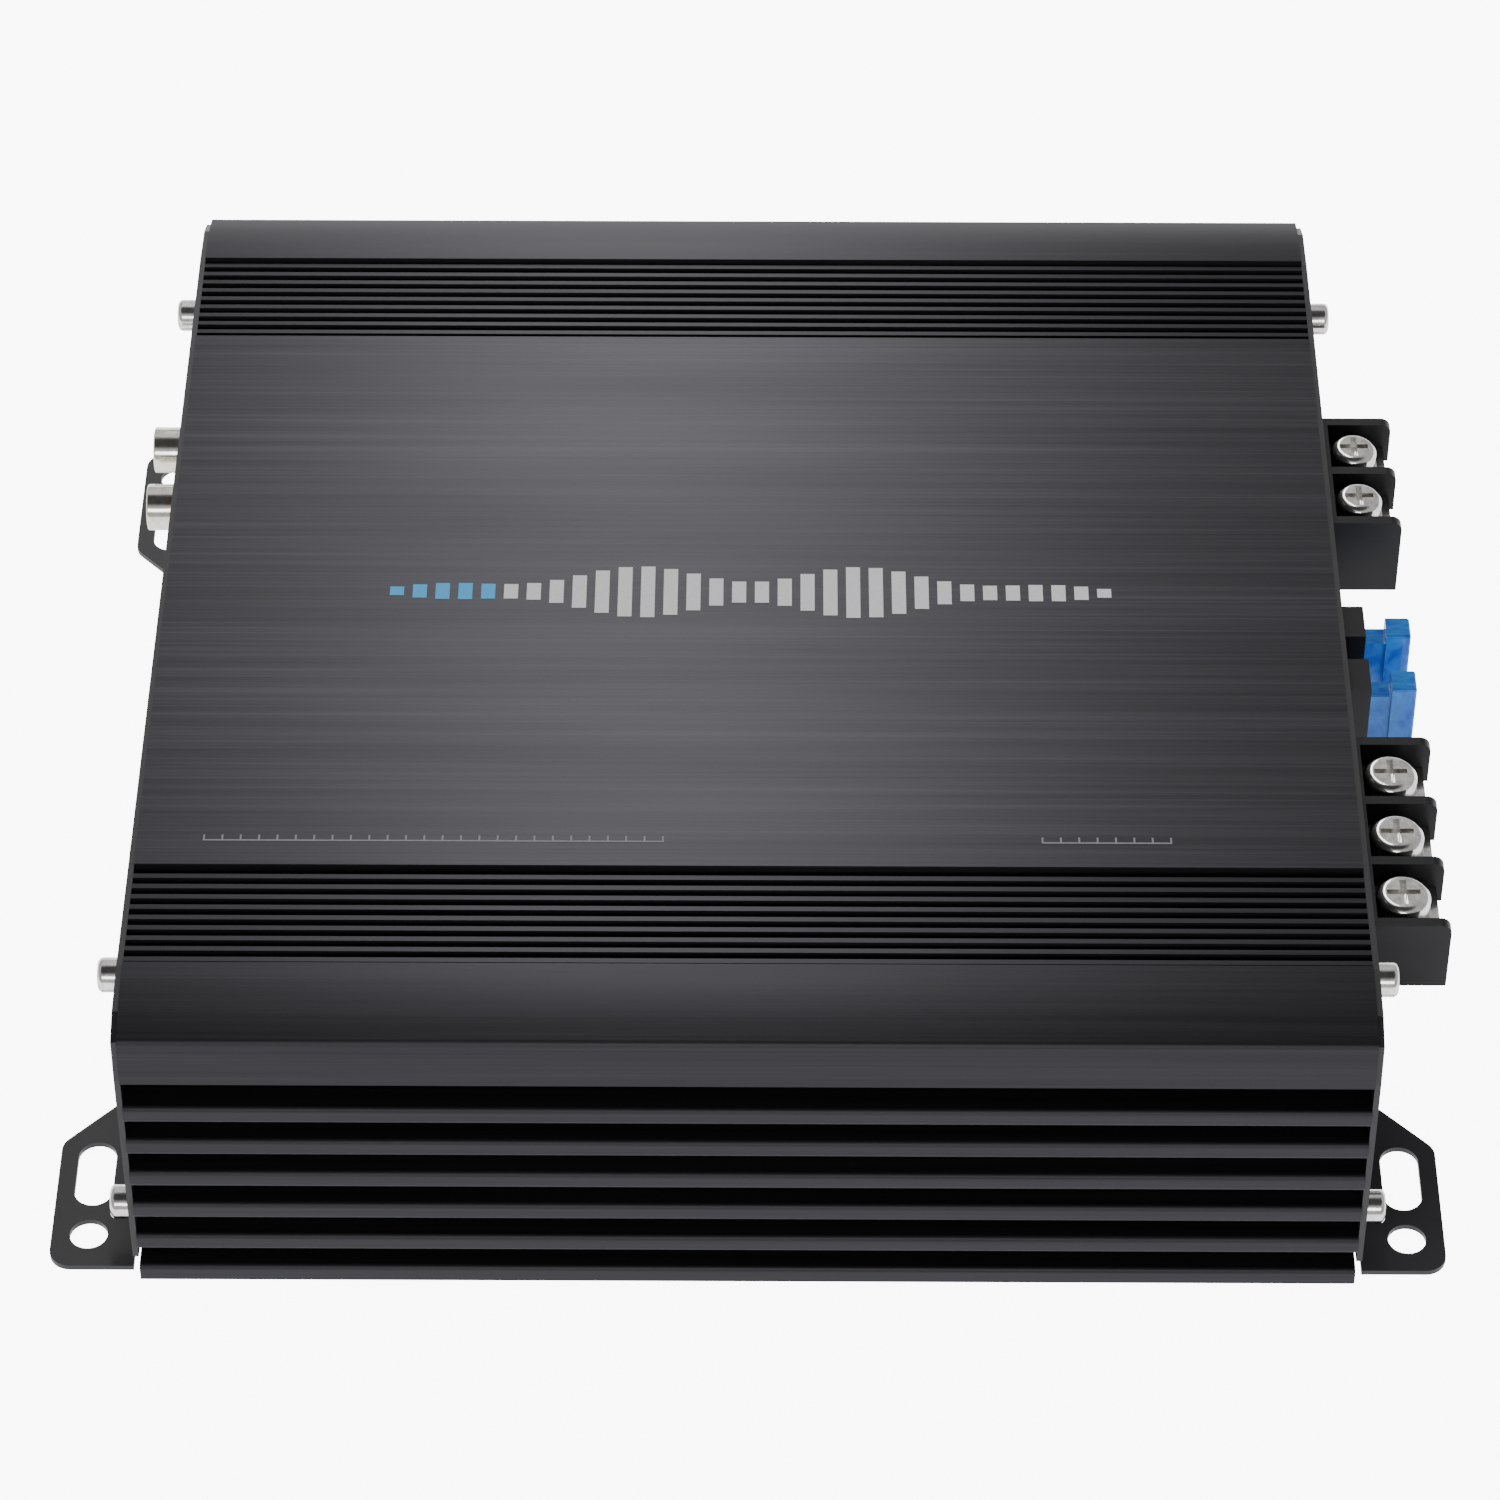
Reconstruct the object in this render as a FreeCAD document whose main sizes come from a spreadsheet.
import FreeCAD, Part
import os
import re

import Sketcher

# Car amplifier. X runs along the extruded housing, +X is the terminal end,
# -Y is the front, Z = 0 is the surface that the feet stand on. Millimetres.

DIMS = {
    # housing: an inverted U with the same section all along X
    "case_length": 200.0,
    "case_height": 59.4,
    "case_bottom": 0.8,
    "case_half_depth": 105.7,
    "panel_half": 67.6,
    "panel_wall": 3.5,
    "rib_pitch": 2.36,
    "rib_first": 2.07,
    "rib_thickness": 1.0,
    "rib_height": 3.0,
    "rib_drop": 0.7,
    "rail_start": 89.9,
    "rail_edge": 105.1,
    "rail_fall": 2.9,
    "rail_depth": 11.9,
    "rail_crown": 40.0,
    "rail_corner": 1.2,
    "rail_wall": 3.0,
    "roof_underside": 52.4,
    "wall_outside": 94.0,
    "wall_inside": 90.0,
    "fin_first": 41.9,
    "fin_pitch": 7.58,
    "fin_thickness": 3.55,
    "ledge_inside": 84.0,
    "ledge_thickness": 3.0,
    "boss_inside": 80.6,
    "boss_underside": 46.9,
    # screws that hold the end plates
    "upper_screw_along": 84.2,
    "upper_screw_height": 50.5,
    "lower_screw_along": 96.6,
    "lower_screw_height": 9.75,
    "lower_boss_radius": 3.1,
    "plate_screw_radius": 1.5,
    "plate_screw_grip": 9.0,
    "plate_head_radius": 2.85,
    "plate_head_height": 4.0,
    "thread_gap": 0.03,
    # end plates and their feet
    "plate_thickness": 1.0,
    "plate_inset": 0.8,
    "foot_reach": 115.6,
    "foot_outer": 103.0,
    "foot_chamfer": 75.6,
    "foot_inner": 61.8,
    "foot_corner": 3.6,
    "bend_end": 96.5,
    "slit_edge": 101.35,
    "foot_relief": 1.0,
    "relief_height": 5.5,
    "bend_outside": 1.3,
    "bend_inside": 0.3,
    "mount_along": 109.4,
    "mount_hole": 96.0,
    "mount_radius": 3.15,
    "slot_near": 78.6,
    "slot_far": 86.4,
    "slot_radius": 3.2,
    # bottom cover
    "cover_rise": 1.6,
    "cover_thickness": 1.2,
    "cover_half": 90.0,
    "cover_screw_along": 87.0,
    "cover_screw_far": 85.0,
    "cover_screw_radius": 1.25,
    "cover_head_radius": 2.45,
    # circuit board and what holds it
    "board_under": 14.0,
    "board_thickness": 1.6,
    "board_half_length": 97.0,
    "board_half_depth": 89.0,
    "board_screw_along": 80.0,
    "board_screw_aside": 72.0,
    "standoff_radius": 3.0,
    "board_screw_radius": 1.5,
    "board_head_radius": 2.8,
    "board_head_height": 2.0,
    # phono jacks
    "jack_rear": 62.0,
    "jack_pitch": 15.8,
    "jack_height": 37.1,
    "jack_radius": 4.15,
    "jack_reach": 108.4,
    "jack_bore": 3.35,
    "jack_socket": 1.7,
    "jack_collar": 4.35,
    "jack_collar_step": 0.3,
    "jack_grip": 10.0,
    "jack_block_half": 16.0,
    "jack_block_depth": 14.0,
    "jack_block_top": 44.1,
    # rotary controls, switch, lamps and remote socket
    "knob_first": 22.0,
    "knob_pitch": 17.0,
    "control_height": 31.5,
    "knob_radius": 3.2,
    "knob_reach": 103.0,
    "knob_slot": 0.9,
    "shaft_radius": 1.5,
    "shaft_length": 5.5,
    "control_setback": 6.0,
    "control_half_width": 5.0,
    "control_depth": 8.0,
    "running_gap": 0.05,
    "switch_along": -28.0,
    "switch_half_width": 6.5,
    "switch_half_height": 3.5,
    "switch_half_opening": 4.0,
    "switch_travel": 3.2,
    "slider_width": 4.0,
    "slider_half_height": 1.5,
    "remote_along": -46.0,
    "remote_half": 6.0,
    "remote_half_bore": 4.9,
    "lamp_power": -60.0,
    "lamp_fault": -67.0,
    "lamp_radius": 1.5,
    # barrier terminals
    "shelf_thickness": 2.2,
    "terminal_wall": 1.9,
    "terminal_corner": 1.8,
    "terminal_back": 103.5,
    "terminal_inside": 88.0,
    "tab_thickness": 1.0,
    "speaker_middle": 46.55,
    "speaker_pitch": 13.4,
    "speaker_reach": 115.0,
    "speaker_top": 46.5,
    "speaker_under": 30.7,
    "speaker_floor": 40.3,
    "speaker_screw_x": 107.9,
    "speaker_head": 4.15,
    "speaker_washer": 5.0,
    "speaker_shank": 1.75,
    "power_middle": -44.3,
    "power_pitch": 14.45,
    "power_reach": 115.7,
    "power_top": 45.4,
    "power_under": 31.4,
    "power_floor": 39.1,
    "power_screw_x": 108.3,
    "power_head": 4.65,
    "power_washer": 5.6,
    "power_shank": 2.2,
    "washer_thickness": 1.2,
    "head_height": 3.9,
    # blade fuses
    "fuse_rear": 10.0,
    "fuse_pitch": 13.6,
    "fuse_middle": 32.4,
    "fuse_width": 19.1,
    "fuse_body_thickness": 5.1,
    "fuse_neck_width": 14.6,
    "fuse_neck_thickness": 3.9,
    "fuse_end": 115.0,
    "fuse_ear": 110.7,
    "fuse_neck": 103.0,
    "blade_end": 95.0,
    "blade_width": 4.8,
    "blade_thickness": 0.65,
    "blade_offset": 4.45,
    "socket_end": 106.9,
    "socket_inside": 90.0,
    "socket_half_width": 3.9,
    "socket_half_height": 10.8,
    # inside: power supply and output stage
    "core_x": 34.0,
    "core_y": -36.0,
    "core_outer": 22.0,
    "core_inner": 12.0,
    "core_height": 20.0,
    "winding_wall": 2.5,
    "choke_x": 30.0,
    "choke_y": 34.0,
    "choke_outer": 13.5,
    "choke_inner": 7.5,
    "choke_height": 12.0,
    "can_radius": 9.0,
    "can_height": 30.0,
    "small_can_radius": 4.0,
    "small_can_height": 12.0,
    "pad_thickness": 0.5,
    "transistor_depth": 4.5,
    "transistor_width": 10.0,
    "transistor_pitch": 24.0,
    "transistor_bottom": 20.0,
    "transistor_top": 36.0,
    "bar_thickness": 3.0,
    "bar_bottom": 24.0,
    "bar_top": 33.0,
    "bar_half_length": 72.0,
    "bar_screw_pitch": 48.0,
}

FIN_COUNT = 6
RIB_COUNT = 9

doc = FreeCAD.newDocument("car_amplifier")
sheet = doc.addObject("Spreadsheet::Sheet", "dims")
for row, (alias, size) in enumerate(DIMS.items(), 1):
    sheet.set(f"A{row}", alias)
    sheet.set(f"B{row}", str(size))
    sheet.setAlias(f"B{row}", alias)
doc.recompute()

sub_parts = []


def bound(text):
    """The expression with every dimension's name pointing at the sheet."""
    return re.sub(r"[a-z_]\w*", lambda word: f"dims.{word.group()}", str(text))


def value(text):
    """What the expression is worth now."""
    return float(sheet.evalExpression(bound(text)))


def new_body(label):
    body = doc.addObject("PartDesign::Body", label)
    body.Label = label
    sub_parts.append(body)
    return body


def rect(x_low, y_low, x_high, y_high):
    return [(x_low, y_low), (x_high, y_low), (x_high, y_high), (x_low, y_high)]


def box_around(x, y, half_x, half_y):
    return rect(f"{x} - {half_x}", f"{y} - {half_y}", f"{x} + {half_x}", f"{y} + {half_y}")


def cross(x, y, arm, half):
    """Outline of a cross recess with its middle at x, y."""
    turns = [(arm, half), (half, half), (half, arm)]
    corners = turns[:]
    corners += [(-b, a) for a, b in turns]
    corners += [(-a, -b) for a, b in turns]
    corners += [(b, -a) for a, b in turns]
    return [(f"{x} + ({dx})", f"{y} + ({dy})") for dx, dy in corners]


def draw(body, plane, base, outlines, rounds):
    """A sketch on one of the body's own planes, moved along its normal to base."""
    origin = next(item for item in body.Origin.OriginFeatures if item.Role == plane)
    sketch = body.newObject("Sketcher::SketchObject", f"{body.Name}_sketch")
    sketch.AttachmentSupport = (origin, [""])
    sketch.MapMode = "FlatFace"
    sketch.setExpression("AttachmentOffset.Base.z", bound(base))
    pins = []
    for corners in outlines:
        first = sketch.GeometryCount
        points = [FreeCAD.Vector(value(x), value(y), 0) for x, y in corners]
        for start, end in zip(points, points[1:] + points[:1]):
            sketch.addGeometry(Part.LineSegment(start, end))
        for number, corner in enumerate(corners):
            following = first + (number + 1) % len(corners)
            sketch.addConstraint(Sketcher.Constraint("Coincident", first + number, 2, following, 1))
            pins.append((first + number, 1, corner))
    for x, y, radius in rounds:
        centre = FreeCAD.Vector(value(x), value(y), 0)
        circle = sketch.addGeometry(Part.Circle(centre, FreeCAD.Vector(0, 0, 1), value(radius)))
        pins.append((circle, 3, (x, y)))
        size = sketch.addConstraint(Sketcher.Constraint("Radius", circle, value(radius)))
        sketch.setExpression(f"Constraints[{size}]", bound(radius))
    for geometry, point, place in pins:
        for direction, text in zip(("DistanceX", "DistanceY"), place):
            pin = Sketcher.Constraint(direction, -1, 1, geometry, point, value(text))
            number = sketch.addConstraint(pin)
            sketch.setExpression(f"Constraints[{number}]", bound(text))
    return sketch


def add(body, plane, base, length, outlines=(), rounds=()):
    """Material from base, along the plane's normal."""
    sketch = draw(body, plane, base, outlines, rounds)
    pad = body.newObject("PartDesign::Pad", f"{body.Name}_pad")
    pad.Profile = sketch
    pad.setExpression("Length", bound(length))
    doc.recompute()
    return pad


def cut(body, plane, base, length, outlines=(), rounds=()):
    """Material taken away from base, along the plane's normal."""
    before = body.Shape.Volume
    sketch = draw(body, plane, base, outlines, rounds)
    pocket = body.newObject("PartDesign::Pocket", f"{body.Name}_pocket")
    pocket.Profile = sketch
    pocket.Reversed = True
    pocket.setExpression("Length", bound(length))
    doc.recompute()
    if pocket.Shape.isNull() or before - body.Shape.Volume < 0.01:
        raise RuntimeError(f"{body.Label}: a pocket cuts nothing")
    return pocket


def straight_edges(body, test):
    """Names of the straight edges whose middle and direction pass the test."""
    names = []
    for number, edge in enumerate(body.Shape.Edges, 1):
        if edge.Curve.TypeId != "Part::GeomLine":
            continue
        if test(edge.CenterOfMass, edge.tangentAt(edge.FirstParameter)):
            names.append(f"Edge{number}")
    return names


def fillet_edges(body, radius, names):
    base = body.Tip
    fillet = body.newObject("PartDesign::Fillet", f"{body.Name}_fillet")
    fillet.Base = (base, names)
    fillet.setExpression("Radius", bound(radius))
    doc.recompute()


def round_edges(body, radius, test):
    """A fillet on the straight edges that pass the test."""
    fillet_edges(body, radius, straight_edges(body, test))


def round_rims(body, radius, test):
    """A fillet on the circular edges whose centre and radius pass the test."""
    names = []
    for number, edge in enumerate(body.Shape.Edges, 1):
        if edge.Curve.TypeId == "Part::GeomCircle" and test(edge.Curve.Center, edge.Curve.Radius):
            names.append(f"Edge{number}")
    fillet_edges(body, radius, names)


def near(first, second):
    return abs(first - second) < 0.01


def both(places):
    """Every place and its mirror image across the XZ plane."""
    return [(sign + y, z) for sign in ("", "-") for y, z in places]


# ---------------------------------------------------------------- housing

SCREW_PLACES = both([
    ("upper_screw_along", "upper_screw_height"),
    ("lower_screw_along", "lower_screw_height"),
])


def housing_outline():
    """Half of the section, from the middle of the panel outwards and back inside."""
    floor = "case_height - rib_drop - rib_height"
    crest = "case_height - rib_drop"
    corners = [("0", "case_height"), ("panel_half", "case_height"), ("panel_half", floor)]
    for rib in range(RIB_COUNT):
        middle = f"panel_half + rib_first + {rib} * rib_pitch"
        near_side = f"{middle} - rib_thickness / 2"
        far_side = f"{middle} + rib_thickness / 2"
        corners += [(near_side, floor), (near_side, crest), (far_side, crest), (far_side, floor)]
    corners += [
        ("rail_start", floor),
        ("rail_start", "case_height"),
        ("(rail_start + rail_edge) / 2", "case_height"),
        ("rail_edge", "case_height - rail_fall"),
        ("case_half_depth", "case_height - rail_depth"),
        ("case_half_depth - rail_wall", "case_height - rail_depth"),
        ("case_half_depth - rail_wall", "roof_underside"),
        ("wall_outside", "roof_underside"),
    ]
    for fin in range(FIN_COUNT - 1):
        top = f"fin_first - {fin} * fin_pitch"
        under = f"{top} - fin_thickness"
        corners += [
            ("wall_outside", top),
            ("case_half_depth", top),
            ("case_half_depth", under),
            ("wall_outside", under),
        ]
    lip = f"fin_first - {FIN_COUNT - 1} * fin_pitch"
    ledge = "cover_rise + cover_thickness"
    corners += [
        ("wall_outside", lip),
        ("case_half_depth", lip),
        ("case_half_depth", "case_bottom"),
        ("cover_half + 0.2", "case_bottom"),
        ("cover_half + 0.2", ledge),
        ("ledge_inside", ledge),
        ("ledge_inside", f"{ledge} + ledge_thickness"),
        ("wall_inside", f"{ledge} + ledge_thickness"),
        ("wall_inside", "boss_underside"),
        ("boss_inside", "boss_underside"),
        ("boss_inside", "roof_underside"),
        ("panel_half - panel_wall", "roof_underside"),
        ("panel_half - panel_wall", "case_height - panel_wall"),
        ("0", "case_height - panel_wall"),
    ]
    return corners


def heatsink_housing():
    body = new_body("heatsink_housing")
    pad = add(body, "YZ_Plane", "-case_length / 2", "case_length", [housing_outline()])
    mirror = body.newObject("PartDesign::Mirrored", "heatsink_housing_mirror")
    mirror.Originals = [pad]
    mid_plane = next(item for item in body.Origin.OriginFeatures if item.Role == "XZ_Plane")
    mirror.MirrorPlane = (mid_plane, [""])
    body.Tip = mirror
    doc.recompute()
    lower = both([("lower_screw_along", "lower_screw_height")])
    add(body, "YZ_Plane", "-case_length / 2", "case_length",
        rounds=[(y, z, "lower_boss_radius") for y, z in lower])
    cut(body, "YZ_Plane", "-case_length / 2", "case_length",
        rounds=[(y, z, "plate_screw_radius + thread_gap") for y, z in SCREW_PLACES])
    cut(body, "XY_Plane", "0", "cover_rise + cover_thickness + ledge_thickness",
        rounds=[(x, y, "cover_screw_radius + thread_gap") for x, y in COVER_SCREW_PLACES])
    cut(body, "XZ_Plane", "-wall_outside + 0.8", "2 * wall_outside - 1.6",
        rounds=[(x, "(bar_bottom + bar_top) / 2", "plate_screw_radius + thread_gap") for x in BAR_SCREWS])
    # the rail's top is one wide arc, and its outer edge a tight one
    crown = value("(rail_start + rail_edge) / 2")
    round_edges(body, "rail_crown", lambda middle, way: near(abs(way.x), 1)
                and near(abs(middle.y), crown))
    round_edges(body, "rail_corner", lambda middle, way: near(abs(way.x), 1)
                and near(abs(middle.y), value("rail_edge")))
    round_edges(body, "fin_thickness / 4", lambda middle, way: near(abs(way.x), 1)
                and near(abs(middle.y), value("case_half_depth")) and middle.z < value("fin_first + 1")
                and middle.z > value("case_bottom + 0.1"))


COVER_SCREW_PLACES = [
    (f"{sx}cover_screw_far", f"{sy}cover_screw_along") for sx in ("", "-") for sy in ("", "-")
] + [("0", "cover_screw_along"), ("0", "-cover_screw_along")]
BAR_SCREWS = ["-bar_screw_pitch", "0", "bar_screw_pitch"]
BOARD_SCREWS = [
    (f"{sx}board_screw_along", f"{sy}board_screw_aside") for sx in ("", "-") for sy in ("", "-")
] + [("0", "board_screw_aside"), ("0", "-board_screw_aside")]


def bottom_cover():
    body = new_body("bottom_cover")
    add(body, "XY_Plane", "cover_rise", "cover_thickness",
        [rect("-case_length / 2 + 0.2", "-cover_half", "case_length / 2 - 0.2", "cover_half")])
    cut(body, "XY_Plane", "cover_rise", "cover_thickness",
        rounds=[(x, y, "cover_head_radius + thread_gap") for x, y in COVER_SCREW_PLACES])
    cut(body, "XY_Plane", "cover_rise", "cover_thickness",
        rounds=[(x, y, "board_screw_radius + thread_gap") for x, y in BOARD_SCREWS])


def bottom_cover_screws():
    body = new_body("bottom_cover_screws")
    add(body, "XY_Plane", "cover_rise", "cover_thickness - 0.05",
        rounds=[(x, y, "cover_head_radius") for x, y in COVER_SCREW_PLACES])
    add(body, "XY_Plane", "cover_rise", "cover_thickness + ledge_thickness",
        rounds=[(x, y, "cover_screw_radius") for x, y in COVER_SCREW_PLACES])
    cut(body, "XY_Plane", "cover_rise", "0.7", [cross(x, y, 1.3, 0.3) for x, y in COVER_SCREW_PLACES])


# ---------------------------------------------------------------- end plates

def end_plate_outline():
    """Half of the plate: a little inside the housing's section."""
    side = "case_half_depth - plate_inset"
    return [
        ("0", "case_bottom + 0.4"),
        ("foot_inner - foot_relief", "case_bottom + 0.4"),
        ("foot_inner - foot_relief", "relief_height"),
        ("foot_inner", "relief_height"),
        ("foot_inner", "0"),
        ("bend_end", "0"),
        ("bend_end", "relief_height"),
        (side, "relief_height"),
        (side, "case_height - rail_depth"),
        ("rail_edge - plate_inset", "case_height - rail_fall - plate_inset"),
        ("(rail_start + rail_edge) / 2 + 2", "case_height - plate_inset - 0.7"),
        ("rail_start", "case_height - plate_inset"),
        ("0", "case_height - plate_inset"),
    ]


def foot_outline(side, end):
    """One foot, seen from above: side is the X sign, end is the Y sign.

    A slit parts its outer stretch from the plate, past the end of the bend.
    """
    start = f"{side}case_length / 2"
    reach = f"{side}foot_reach"
    return [
        (start, f"{end}foot_inner"),
        (f"{side}(case_length / 2 + plate_thickness + bend_outside)", f"{end}foot_inner"),
        (reach, f"{end}foot_chamfer"),
        (reach, f"{end}foot_outer"),
        (f"{side}slit_edge", f"{end}foot_outer"),
        (f"{side}slit_edge", f"{end}bend_end"),
        (start, f"{end}bend_end"),
    ]


def end_plate(label, side):
    body = new_body(label)
    inner = "case_length / 2" if side == "" else "-case_length / 2 - plate_thickness"
    pad = add(body, "YZ_Plane", inner, "plate_thickness", [end_plate_outline()])
    mirror = body.newObject("PartDesign::Mirrored", f"{label}_mirror")
    mirror.Originals = [pad]
    mid_plane = next(item for item in body.Origin.OriginFeatures if item.Role == "XZ_Plane")
    mirror.MirrorPlane = (mid_plane, [""])
    body.Tip = mirror
    doc.recompute()
    add(body, "XY_Plane", "0", "plate_thickness", [foot_outline(side, ""), foot_outline(side, "-")])
    reach = value("foot_reach")
    round_edges(body, "foot_corner", lambda middle, way: near(abs(way.z), 1)
                and near(abs(middle.x), reach))
    bend = value("case_length / 2")
    inside = value("case_length / 2 + plate_thickness")
    round_edges(body, "bend_outside", lambda middle, way: near(abs(way.y), 1)
                and near(abs(middle.x), bend) and near(middle.z, 0) and abs(middle.y) > 60)
    round_edges(body, "bend_inside", lambda middle, way: near(abs(way.y), 1)
                and near(abs(middle.x), inside) and near(middle.z, value("plate_thickness")))
    holes = [(f"{side}mount_along", f"{end}mount_hole", "mount_radius") for end in ("", "-")]
    cut(body, "XY_Plane", "0", "plate_thickness", rounds=holes)
    slots = [rect(f"{side}mount_along - slot_radius", f"{end}slot_near",
                  f"{side}mount_along + slot_radius", f"{end}slot_far") for end in ("", "-")]
    cut(body, "XY_Plane", "0", "plate_thickness", slots)
    for along in ("slot_near", "slot_far"):
        cut(body, "XY_Plane", "0", "plate_thickness",
            rounds=[(f"{side}mount_along", f"{end}{along}", "slot_radius") for end in ("", "-")])
    cut(body, "YZ_Plane", inner, "plate_thickness",
        rounds=[(y, z, "plate_screw_radius + thread_gap") for y, z in SCREW_PLACES])
    return body, inner


JACKS = [("jack_rear", "jack_height"), ("jack_rear - jack_pitch", "jack_height")]
KNOBS = [(f"knob_first - {number} * knob_pitch", "control_height") for number in range(3)]
LAMPS = [("lamp_power", "control_height"), ("lamp_fault", "control_height")]
FUSES = ["fuse_rear", "fuse_rear - fuse_pitch"]
TERMINALS = {"speaker": 2, "power": 3}


def left_end_plate():
    body, inner = end_plate("left_end_plate", "-")
    cut(body, "YZ_Plane", inner, "plate_thickness", [
        box_around("switch_along", "control_height", "(switch_half_opening + 0.5)",
                   "(slider_half_height + 0.7)"),
        box_around("remote_along", "control_height", "(remote_half + 0.2)", "(remote_half + 0.2)"),
    ], [(y, z, "jack_collar + 0.1") for y, z in JACKS]
       + [(y, z, "knob_radius + 0.4") for y, z in KNOBS]
       + [(y, z, "lamp_radius + thread_gap") for y, z in LAMPS])


def right_end_plate():
    body, inner = end_plate("right_end_plate", "")
    windows = []
    for kind, ways in TERMINALS.items():
        half = f"({ways} * {kind}_pitch / 2 - 0.8)"
        windows.append(rect(f"{kind}_middle - {half}", f"{kind}_under",
                            f"{kind}_middle + {half}", f"{kind}_top"))
    windows += [box_around(y, "fuse_middle", "(socket_half_width + 0.1)",
                           "(socket_half_height + 0.1)") for y in FUSES]
    cut(body, "YZ_Plane", inner, "plate_thickness", windows)


def end_plate_screws(label, side):
    body = new_body(label)
    outside = "case_length / 2 + plate_thickness"
    head = f"{outside}" if side == "" else f"-({outside} + plate_head_height)"
    shank = f"{outside} - plate_screw_grip" if side == "" else f"-({outside})"
    recess = f"{outside} + plate_head_height - 1.2" if side == "" else f"-({outside} + plate_head_height)"
    add(body, "YZ_Plane", head, "plate_head_height",
        rounds=[(y, z, "plate_head_radius") for y, z in SCREW_PLACES])
    add(body, "YZ_Plane", shank, "plate_screw_grip",
        rounds=[(y, z, "plate_screw_radius") for y, z in SCREW_PLACES])
    tip = value("case_length / 2 + plate_thickness + plate_head_height")
    round_rims(body, "0.9", lambda centre, radius: near(abs(centre.x), tip))
    cut(body, "YZ_Plane", recess, "1.2", [cross(y, z, 1.5, 0.35) for y, z in SCREW_PLACES])


# ---------------------------------------------------------------- board

def main_circuit_board():
    body = new_body("main_circuit_board")
    add(body, "XY_Plane", "board_under", "board_thickness",
        [rect("-board_half_length", "-board_half_depth", "board_half_length", "board_half_depth")])
    cut(body, "XY_Plane", "board_under", "board_thickness",
        rounds=[(x, y, "board_screw_radius + 0.1") for x, y in BOARD_SCREWS])


def board_standoffs():
    body = new_body("board_standoffs")
    add(body, "XY_Plane", "cover_rise + cover_thickness", "board_under - cover_rise - cover_thickness",
        rounds=[(x, y, "standoff_radius") for x, y in BOARD_SCREWS])
    add(body, "XY_Plane", "cover_rise", "cover_thickness",
        rounds=[(x, y, "board_screw_radius") for x, y in BOARD_SCREWS])
    cut(body, "XY_Plane", "board_under - 6", "6",
        rounds=[(x, y, "board_screw_radius + thread_gap") for x, y in BOARD_SCREWS])


def board_screws():
    body = new_body("board_screws")
    top = "board_under + board_thickness"
    add(body, "XY_Plane", top, "board_head_height",
        rounds=[(x, y, "board_head_radius") for x, y in BOARD_SCREWS])
    add(body, "XY_Plane", "board_under - 5", "5 + board_thickness",
        rounds=[(x, y, "board_screw_radius") for x, y in BOARD_SCREWS])
    cut(body, "XY_Plane", f"{top} + board_head_height - 1.1", "1.1",
        [cross(x, y, 1.5, 0.35) for x, y in BOARD_SCREWS])


# ---------------------------------------------------------------- left end

def rca_jack_housing():
    body = new_body("rca_jack_housing")
    top = "board_under + board_thickness"
    middle = "jack_rear - jack_pitch / 2"
    add(body, "YZ_Plane", "-case_length / 2", "jack_block_depth",
        [rect(f"{middle} - jack_block_half", top, f"{middle} + jack_block_half", "jack_block_top")])
    cut(body, "YZ_Plane", "-case_length / 2", "jack_grip + 1",
        rounds=[(y, z, "jack_collar") for y, z in JACKS])


def rca_outer_sleeves():
    """Plated barrels, each with a collar that starts just outside the end plate."""
    body = new_body("rca_outer_sleeves")
    collar = "plate_thickness + jack_collar_step"
    length = "jack_reach - case_length / 2 + jack_grip"
    add(body, "YZ_Plane", "-jack_reach", length,
        rounds=[(y, z, "jack_radius") for y, z in JACKS])
    add(body, "YZ_Plane", f"-case_length / 2 - ({collar})", f"{collar} + jack_grip",
        rounds=[(y, z, "jack_collar") for y, z in JACKS])
    cut(body, "YZ_Plane", "-jack_reach", length,
        rounds=[(y, z, "jack_bore") for y, z in JACKS])
    tip = -value("jack_reach")
    round_rims(body, "0.3", lambda centre, radius: near(centre.x, tip))


def rca_insulators():
    body = new_body("rca_insulators")
    start = "-jack_reach + 0.8"
    length = "jack_reach - 0.8 - case_length / 2 + jack_grip"
    add(body, "YZ_Plane", start, length, rounds=[(y, z, "jack_bore") for y, z in JACKS])
    cut(body, "YZ_Plane", start, length, rounds=[(y, z, "jack_socket + 0.6") for y, z in JACKS])


def rca_centre_contacts():
    body = new_body("rca_centre_contacts")
    start = "-jack_reach + 1.4"
    length = "jack_reach - 1.4 - case_length / 2 + jack_grip"
    add(body, "YZ_Plane", start, length, rounds=[(y, z, "jack_socket + 0.6") for y, z in JACKS])
    cut(body, "YZ_Plane", start, f"{length} - 2", rounds=[(y, z, "jack_socket") for y, z in JACKS])


def potentiometer_bodies():
    body = new_body("potentiometer_bodies")
    top = "board_under + board_thickness"
    front = "-case_length / 2 + control_setback"
    add(body, "YZ_Plane", front, "control_depth",
        [rect(f"{y} - control_half_width", top, f"{y} + control_half_width",
              f"{z} + control_half_width + 1") for y, z in KNOBS])
    cut(body, "YZ_Plane", front, "shaft_length - 0.5",
        rounds=[(y, z, "shaft_radius + running_gap") for y, z in KNOBS])


def control_knob(label, place):
    body = new_body(label)
    y, z = place
    back = "-case_length / 2 + control_setback - 1"
    add(body, "YZ_Plane", "-knob_reach", f"knob_reach + ({back})", rounds=[(y, z, "knob_radius")])
    add(body, "YZ_Plane", back, "shaft_length", rounds=[(y, z, "shaft_radius")])
    cut(body, "YZ_Plane", "-knob_reach", "1.2",
        [box_around(y, z, "knob_slot / 2", "(knob_radius - 0.6)")])


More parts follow.
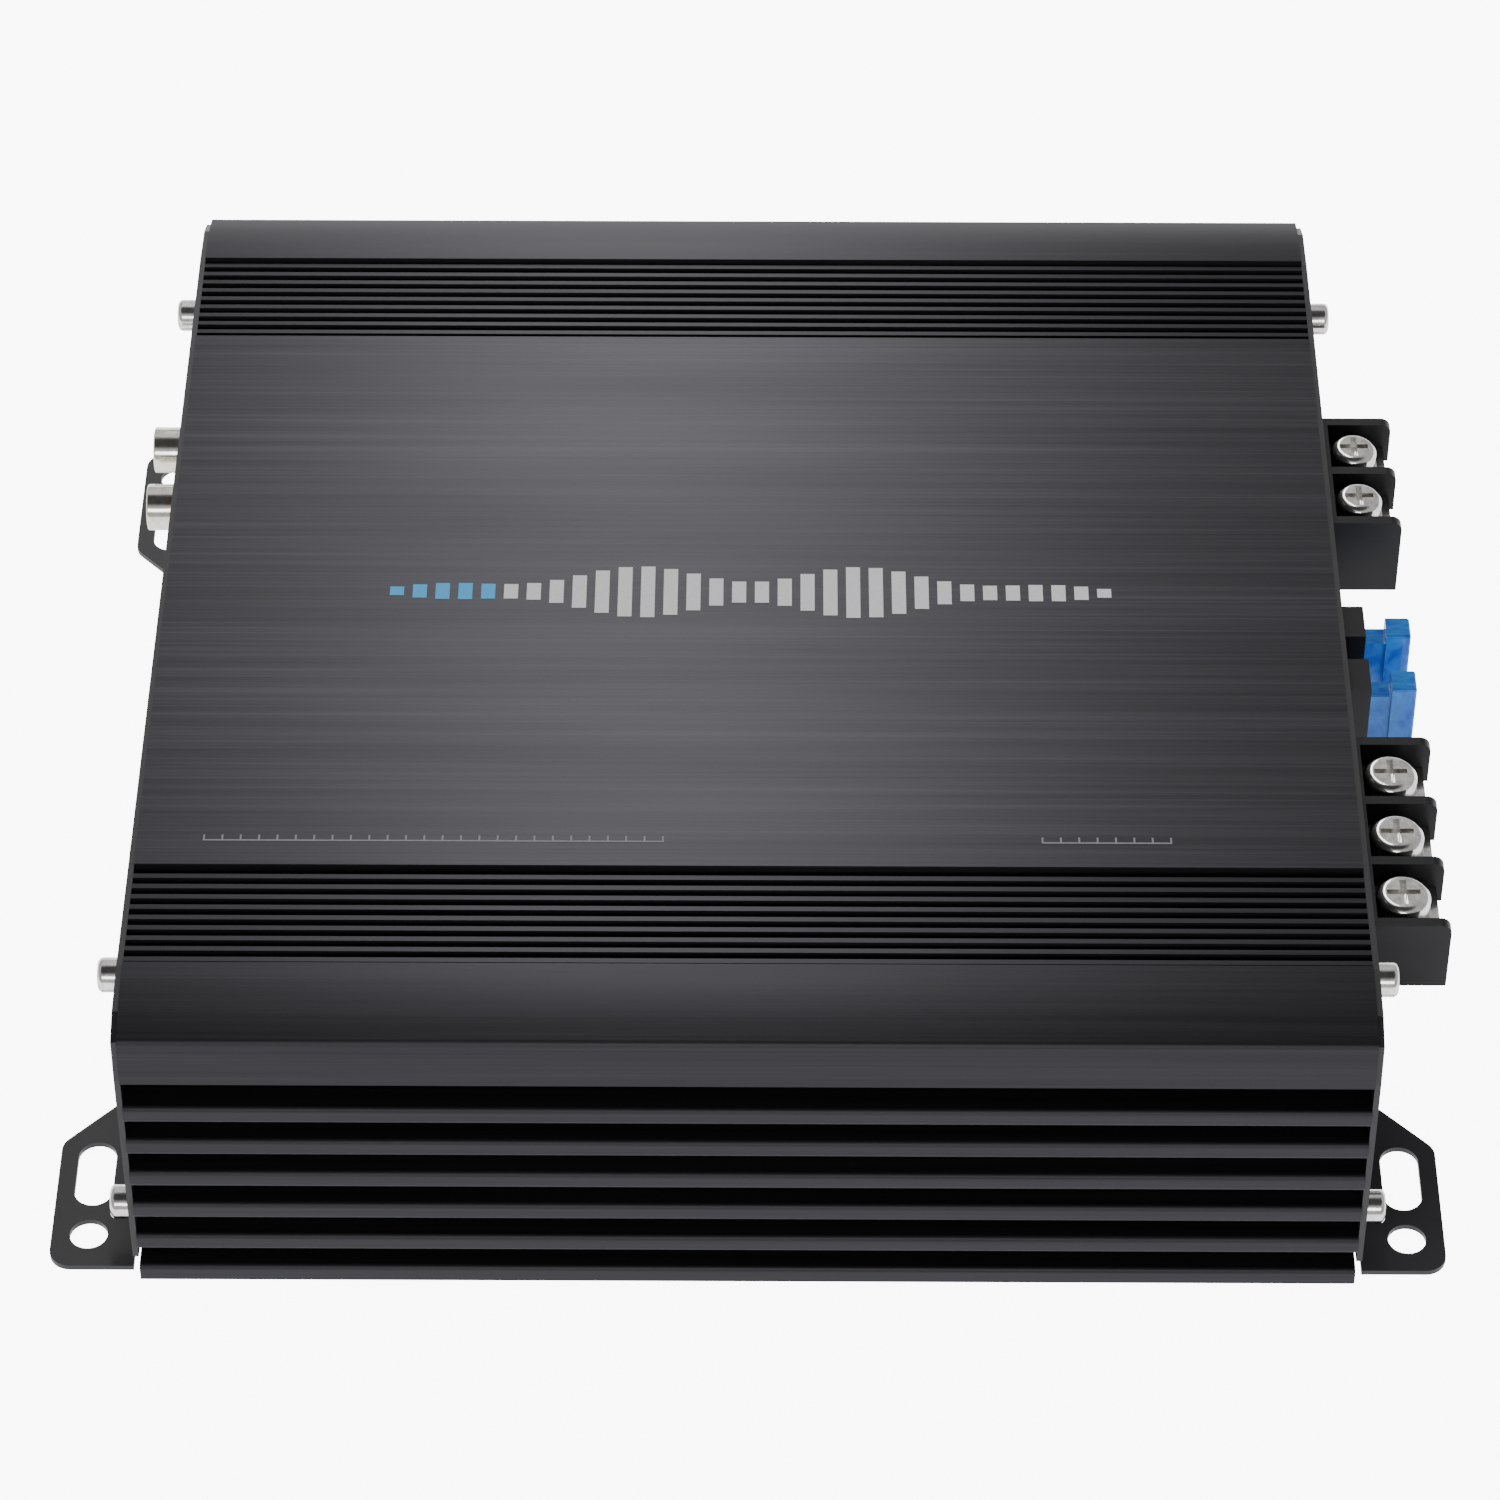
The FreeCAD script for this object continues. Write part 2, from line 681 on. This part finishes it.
def phase_switch_body():
    body = new_body("phase_switch_body")
    top = "board_under + board_thickness"
    y, z = "switch_along", "control_height"
    front = "-case_length / 2 + 0.2"
    add(body, "YZ_Plane", front, "control_depth",
        [rect(f"{y} - switch_half_width", top, f"{y} + switch_half_width", f"{z} + switch_half_height")])
    cut(body, "YZ_Plane", front, "control_depth / 2",
        [box_around(y, z, "switch_half_opening", "(slider_half_height + 0.2)")])


def phase_switch_slider():
    body = new_body("phase_switch_slider")
    low = "switch_along - (slider_width + switch_travel) / 2"
    add(body, "YZ_Plane", "-case_length / 2 - plate_thickness - 1.2", "plate_thickness + 5",
        [rect(low, "control_height - slider_half_height",
              f"{low} + slider_width", "control_height + slider_half_height")])


def remote_level_socket():
    body = new_body("remote_level_socket")
    top = "board_under + board_thickness"
    y, z = "remote_along", "control_height"
    face = "-case_length / 2 - plate_thickness"
    add(body, "YZ_Plane", face, "16", [box_around(y, z, "remote_half", "remote_half")])
    add(body, "YZ_Plane", "-case_length / 2 + 4", "10",
        [rect(f"{y} - remote_half", top, f"{y} + remote_half", f"{z} + remote_half - 1")])
    cut(body, "YZ_Plane", face, "11",
        [rect(f"{y} - remote_half_bore", f"{z} - 4.4", f"{y} + remote_half_bore", f"{z} + 2.6")])


def status_lamp(label, place):
    body = new_body(label)
    y, z = place
    add(body, "YZ_Plane", "-case_length / 2 - plate_thickness - 0.8", "plate_thickness + 5.8",
        rounds=[(y, z, "lamp_radius")])
    add(body, "YZ_Plane", "-case_length / 2 + 1", "4",
        [rect(f"{y} - 1.5", "board_under + board_thickness", f"{y} + 1.5", "control_height")])
    tip = -value("case_length / 2 + plate_thickness + 0.8")
    round_rims(body, "0.6", lambda centre, radius: near(centre.x, tip))


# ---------------------------------------------------------------- right end

def way_centres(kind):
    """The Y of each way of a barrier strip, from the front backwards."""
    ways = TERMINALS[kind]
    return [f"{kind}_middle + ({way} - {ways} / 2 + 0.5) * {kind}_pitch" for way in range(ways)]


def terminal_block(kind):
    """Barrier strip: dividing walls on a shelf, and a body inside the case."""
    body = new_body(f"{kind}_terminal_block")
    ways = TERMINALS[kind]
    low = f"{kind}_middle - {ways} * {kind}_pitch / 2"
    high = f"{kind}_middle + {ways} * {kind}_pitch / 2"
    face = "case_length / 2 + plate_thickness"
    shelf = f"{kind}_floor - shelf_thickness"
    board_top = "board_under + board_thickness"
    add(body, "XY_Plane", shelf, "shelf_thickness",
        [rect(face, f"{low} - terminal_wall / 2", f"{kind}_reach - 1", f"{high} + terminal_wall / 2")])
    add(body, "XY_Plane", f"{kind}_under", f"{kind}_top - {kind}_under",
        [rect(face, f"{low} - terminal_wall / 2", "terminal_back", f"{high} + terminal_wall / 2")])
    add(body, "XY_Plane", f"{kind}_under", f"{kind}_top - {kind}_under",
        [rect("terminal_back - 1", f"{low} - terminal_wall / 2",
              f"{kind}_reach", f"{low} + terminal_wall / 2")])
    walls = [f"{low} + {way} * {kind}_pitch" for way in range(1, ways + 1)]
    add(body, "XY_Plane", shelf, f"{kind}_top - ({shelf})",
        [rect("terminal_back - 1", f"{wall} - terminal_wall / 2",
              f"{kind}_reach", f"{wall} + terminal_wall / 2") for wall in walls])
    add(body, "XY_Plane", f"{kind}_under + 0.1", f"{kind}_top - {kind}_under - 0.2",
        [rect("terminal_inside", f"{low} + 0.9", face, f"{high} - 0.9")])
    add(body, "XY_Plane", board_top, f"{kind}_top - ({board_top}) - 0.2",
        [rect("terminal_inside", f"{low} + 0.9", "board_half_length", f"{high} - 0.9")])
    reach = value(f"{kind}_reach")
    top = value(f"{kind}_top")
    round_edges(body, "terminal_corner", lambda middle, way: near(abs(way.y), 1)
                and near(middle.x, reach) and near(middle.z, top))
    cut(body, "XY_Plane", shelf, "shelf_thickness",
        rounds=[(f"{kind}_screw_x", y, f"{kind}_shank + 0.15") for y in way_centres(kind)])
    cut(body, "XY_Plane", f"{kind}_floor", "tab_thickness",
        [rect("terminal_back - 6", f"{y} - 3.5", "terminal_back", f"{y} + 3.5") for y in way_centres(kind)])


def terminal_plates(kind):
    """Tinned contact tabs on the shelf, each with a tail into the block."""
    body = new_body(f"{kind}_terminal_plates")
    half = f"({kind}_pitch / 2 - terminal_wall / 2 - 0.1)"
    centres = way_centres(kind)
    add(body, "XY_Plane", f"{kind}_floor", "tab_thickness",
        [rect("terminal_back", f"{y} - {half}", f"{kind}_reach - 1.2", f"{y} + {half}") for y in centres])
    add(body, "XY_Plane", f"{kind}_floor", "tab_thickness",
        [rect("terminal_back - 6", f"{y} - 3.5", "terminal_back", f"{y} + 3.5") for y in centres])
    cut(body, "XY_Plane", f"{kind}_floor", "tab_thickness",
        rounds=[(f"{kind}_screw_x", y, f"{kind}_shank + 0.15") for y in centres])


def terminal_washer(kind, number, y):
    """Square clamping washer under a terminal screw's head."""
    body = new_body(f"{kind}_washer_{number}")
    base = f"{kind}_floor + tab_thickness"
    add(body, "XY_Plane", base, "washer_thickness",
        [box_around(f"{kind}_screw_x", y, f"({kind}_screw_x - terminal_back - 0.1)", f"{kind}_washer")])
    round_edges(body, "1.2", lambda middle, way: near(abs(way.z), 1))
    cut(body, "XY_Plane", base, "washer_thickness",
        rounds=[(f"{kind}_screw_x", y, f"{kind}_shank + running_gap")])


def terminal_screw(kind, number, y):
    """Domed screw with a cross recess."""
    body = new_body(f"{kind}_screw_{number}")
    seat = f"{kind}_floor + tab_thickness + washer_thickness"
    tip = f"{kind}_floor - shelf_thickness - 2.5"
    add(body, "XY_Plane", seat, "head_height", rounds=[(f"{kind}_screw_x", y, f"{kind}_head")])
    add(body, "XY_Plane", tip, f"{seat} - ({tip})", rounds=[(f"{kind}_screw_x", y, f"{kind}_shank")])
    top = value(f"{seat} + head_height")
    round_rims(body, "1.6", lambda centre, radius: near(centre.z, top))
    cut(body, "XY_Plane", f"{seat} + head_height - 1.7", "1.7",
        [cross(f"{kind}_screw_x", y, value(f"{kind}_head") * 0.6, 0.55)])


def fuse_sockets():
    body = new_body("fuse_sockets")
    low, high = "fuse_middle - socket_half_height", "fuse_middle + socket_half_height"
    add(body, "YZ_Plane", "socket_inside", "socket_end - socket_inside",
        [rect(f"{y} - socket_half_width", low, f"{y} + socket_half_width", high) for y in FUSES])
    add(body, "YZ_Plane", "socket_inside", "board_half_length - socket_inside",
        [rect(f"{y} - socket_half_width", "board_under + board_thickness",
              f"{y} + socket_half_width", f"{low} + 1") for y in FUSES])
    cut(body, "YZ_Plane", "fuse_neck - 0.2", "socket_end - fuse_neck + 0.2",
        [box_around(y, "fuse_middle", "(fuse_neck_thickness / 2 + 0.3)",
                    "(fuse_neck_width / 2 + 0.3)") for y in FUSES])
    cut(body, "YZ_Plane", "blade_end - 0.5", "fuse_neck - blade_end + 0.5",
        [box_around(y, f"fuse_middle {sign} blade_offset", "1.4", "(blade_width / 2 + 0.3)")
         for y in FUSES for sign in ("+", "-")])


def fuse_contact_clips():
    """Sprung metal leaves, one each side of every blade."""
    body = new_body("fuse_contact_clips")
    leaves = []
    for y in FUSES:
        for sign in ("+", "-"):
            z = f"fuse_middle {sign} blade_offset"
            for side in ("+", "-"):
                middle = f"{y} {side} (blade_thickness / 2 + running_gap + 0.4)"
                leaves.append(box_around(middle, z, "0.4", "(blade_width / 2)"))
    add(body, "YZ_Plane", "blade_end - 0.4", "6.9", leaves)


def fuse_body(label, y):
    """Coloured plastic of a blade fuse, with a cavity for the link."""
    body = new_body(label)
    add(body, "YZ_Plane", "fuse_neck", "fuse_ear - fuse_neck",
        [box_around(y, "fuse_middle", "(fuse_neck_thickness / 2)", "(fuse_neck_width / 2)")])
    add(body, "YZ_Plane", "fuse_ear", "fuse_end - fuse_ear",
        [box_around(y, "fuse_middle", "(fuse_body_thickness / 2)", "(fuse_width / 2)")])
    round_edges(body, "0.5", lambda middle, way: near(middle.x, value("fuse_end"))
                or (near(abs(way.x), 1) and middle.x > value("fuse_ear")))
    cut(body, "YZ_Plane", "fuse_neck", "fuse_end - fuse_neck - 1.2",
        [box_around(y, f"fuse_middle {sign} blade_offset", "0.45", "(blade_width / 2 + 0.05)")
         for sign in ("+", "-")])
    cut(body, "YZ_Plane", "fuse_neck + 3", "2",
        [box_around(y, "fuse_middle", "0.45", "(blade_offset - 0.5)")])


def fuse_element(label, y):
    """Two blades joined by the thin link that melts."""
    body = new_body(label)
    add(body, "YZ_Plane", "blade_end", "fuse_end - blade_end - 1.4",
        [box_around(y, f"fuse_middle {sign} blade_offset", "(blade_thickness / 2)", "(blade_width / 2)")
         for sign in ("+", "-")])
    add(body, "YZ_Plane", "fuse_neck + 3.5", "1",
        [box_around(y, "fuse_middle", "0.2", "(blade_offset - blade_width / 2 + 0.5)")])


# ---------------------------------------------------------------- inside

def wound_ring(name, x, y, outer, inner, height):
    """Toroidal core standing on the board, and the winding around most of it."""
    board_top = "board_under + board_thickness"
    base = f"{board_top} + winding_wall"
    core = new_body(f"{name}_core")
    add(core, "XY_Plane", base, height, rounds=[(x, y, outer), (x, y, inner)])
    winding = new_body(f"{name}_winding")
    add(winding, "XY_Plane", board_top, f"{height} + 2 * winding_wall",
        rounds=[(x, y, f"{outer} + winding_wall"), (x, y, f"{inner} - winding_wall")])
    gap_low = f"{x} - {outer} - winding_wall - 1"
    cut(winding, "XY_Plane", board_top, f"{height} + 2 * winding_wall",
        [rect(gap_low, f"{y} - 3", f"{x}", f"{y} + 3")])
    cut(winding, "XY_Plane", base, height, rounds=[(x, y, outer), (x, y, inner)])


def cans(label, places, radius, height):
    body = new_body(label)
    top = "board_under + board_thickness"
    add(body, "XY_Plane", top, height, rounds=[(x, y, radius) for x, y in places])
    crown = value(f"{top} + {height}")
    round_rims(body, "1", lambda centre, edge_radius: near(centre.z, crown))


def film_capacitors():
    body = new_body("film_capacitors")
    add(body, "XY_Plane", "board_under + board_thickness", "11",
        [box_around(62, y, "9", "4") for y in (22, 34)])


def transistor_columns():
    return [f"{number} * transistor_pitch / 2" for number in (-5, -3, -1, 1, 3, 5)]


def power_transistors():
    body = new_body("power_transistors")
    for side in ("", "-"):
        face = f"{side}(wall_inside - pad_thickness)"
        front = f"{side}(wall_inside - pad_thickness - transistor_depth)"
        leg = f"{side}(wall_inside - pad_thickness - 2)"
        leg_back = f"{side}(wall_inside - pad_thickness - 1.4)"
        add(body, "XY_Plane", "transistor_bottom", "transistor_top - transistor_bottom",
            [rect(f"{x} - transistor_width / 2", face, f"{x} + transistor_width / 2", front)
             for x in transistor_columns()])
        add(body, "XY_Plane", "board_under + board_thickness",
            "transistor_bottom - board_under - board_thickness",
            [rect(f"{x} + {step} - 0.5", leg, f"{x} + {step} + 0.5", leg_back)
             for x in transistor_columns() for step in ("(-2.54)", "0", "2.54")])


def insulating_pads():
    body = new_body("insulating_pads")
    add(body, "XY_Plane", "transistor_bottom - 2", "transistor_top - transistor_bottom + 4",
        [rect("-bar_half_length", f"{side}wall_inside", "bar_half_length",
              f"{side}(wall_inside - pad_thickness)") for side in ("", "-")])
    cut(body, "XZ_Plane", "-wall_inside", "2 * wall_inside",
        rounds=[(x, "(bar_bottom + bar_top) / 2", "plate_screw_radius + 0.2") for x in BAR_SCREWS])


def clamp_bars():
    body = new_body("clamp_bars")
    near_face = "wall_inside - pad_thickness - transistor_depth"
    add(body, "XY_Plane", "bar_bottom", "bar_top - bar_bottom",
        [rect("-bar_half_length", f"{side}({near_face})", "bar_half_length",
              f"{side}({near_face} - bar_thickness)") for side in ("", "-")])
    cut(body, "XZ_Plane", "-wall_inside", "2 * wall_inside",
        rounds=[(x, "(bar_bottom + bar_top) / 2", "plate_screw_radius + 0.2") for x in BAR_SCREWS])


def clamp_bar_screws():
    body = new_body("clamp_bar_screws")
    seat = "wall_inside - pad_thickness - transistor_depth - bar_thickness"
    tip = "wall_outside - 1"
    height = "(bar_bottom + bar_top) / 2"
    for start in (f"-({tip})", seat):
        add(body, "XZ_Plane", start, f"{tip} - ({seat})",
            rounds=[(x, height, "plate_screw_radius") for x in BAR_SCREWS])
    for start in (f"-({seat})", f"{seat} - plate_head_height"):
        add(body, "XZ_Plane", start, "plate_head_height",
            rounds=[(x, height, "plate_head_radius") for x in BAR_SCREWS])


def driver_board():
    body = new_body("driver_board")
    add(body, "XY_Plane", "board_under + board_thickness", "26", [box_around(-48, 0, "0.8", "24")])


def driver_chips():
    body = new_body("driver_chips")
    add(body, "XY_Plane", "board_under + board_thickness + 6", "12",
        [rect("-47.2", y - 4, "-45", y + 4) for y in (-14, 0, 14)])


heatsink_housing()
bottom_cover()
bottom_cover_screws()
left_end_plate()
right_end_plate()
end_plate_screws("left_end_plate_screws", "-")
end_plate_screws("right_end_plate_screws", "")
main_circuit_board()
board_standoffs()
board_screws()
rca_jack_housing()
rca_outer_sleeves()
rca_insulators()
rca_centre_contacts()
potentiometer_bodies()
for knob_label, knob_place in zip(("level_knob", "low_pass_knob", "bass_boost_knob"), KNOBS):
    control_knob(knob_label, knob_place)
phase_switch_body()
phase_switch_slider()
remote_level_socket()
for lamp_label, lamp_place in zip(("power_led", "protection_led"), LAMPS):
    status_lamp(lamp_label, lamp_place)
for kind in TERMINALS:
    terminal_block(kind)
    terminal_plates(kind)
    for number, centre in enumerate(way_centres(kind), 1):
        terminal_washer(kind, number, centre)
        terminal_screw(kind, number, centre)
fuse_sockets()
fuse_contact_clips()
for number, fuse_place in enumerate(FUSES, 1):
    fuse_body(f"fuse_body_{number}", fuse_place)
    fuse_element(f"fuse_element_{number}", fuse_place)
wound_ring("power_transformer", "core_x", "core_y", "core_outer", "core_inner", "core_height")
wound_ring("output_inductor", "choke_x", "choke_y", "choke_outer", "choke_inner", "choke_height")
cans("supply_capacitors", [(-12, -52), (-12, -28), (-12, 28), (-12, 52)], "can_radius", "can_height")
cans("input_capacitors", [(-66, y) for y in (60, 48, 20, 4)], "small_can_radius", "small_can_height")
film_capacitors()
power_transistors()
insulating_pads()
clamp_bars()
clamp_bar_screws()
driver_board()
driver_chips()

doc.recompute()
for item in doc.Objects:
    if "Invalid" in item.State or "Error" in item.State:
        raise RuntimeError(f"{item.Label} failed: {item.State}")
os.makedirs("parts", exist_ok=True)
for part in sub_parts:
    if part.Shape.isNull() or not part.Shape.isValid():
        raise RuntimeError(f"{part.Label} has no valid shape")
    part.Shape.exportStep(f"parts/{part.Label}.step")
    print(part.Label, len(part.Shape.Solids), round(part.Shape.Volume, 1))
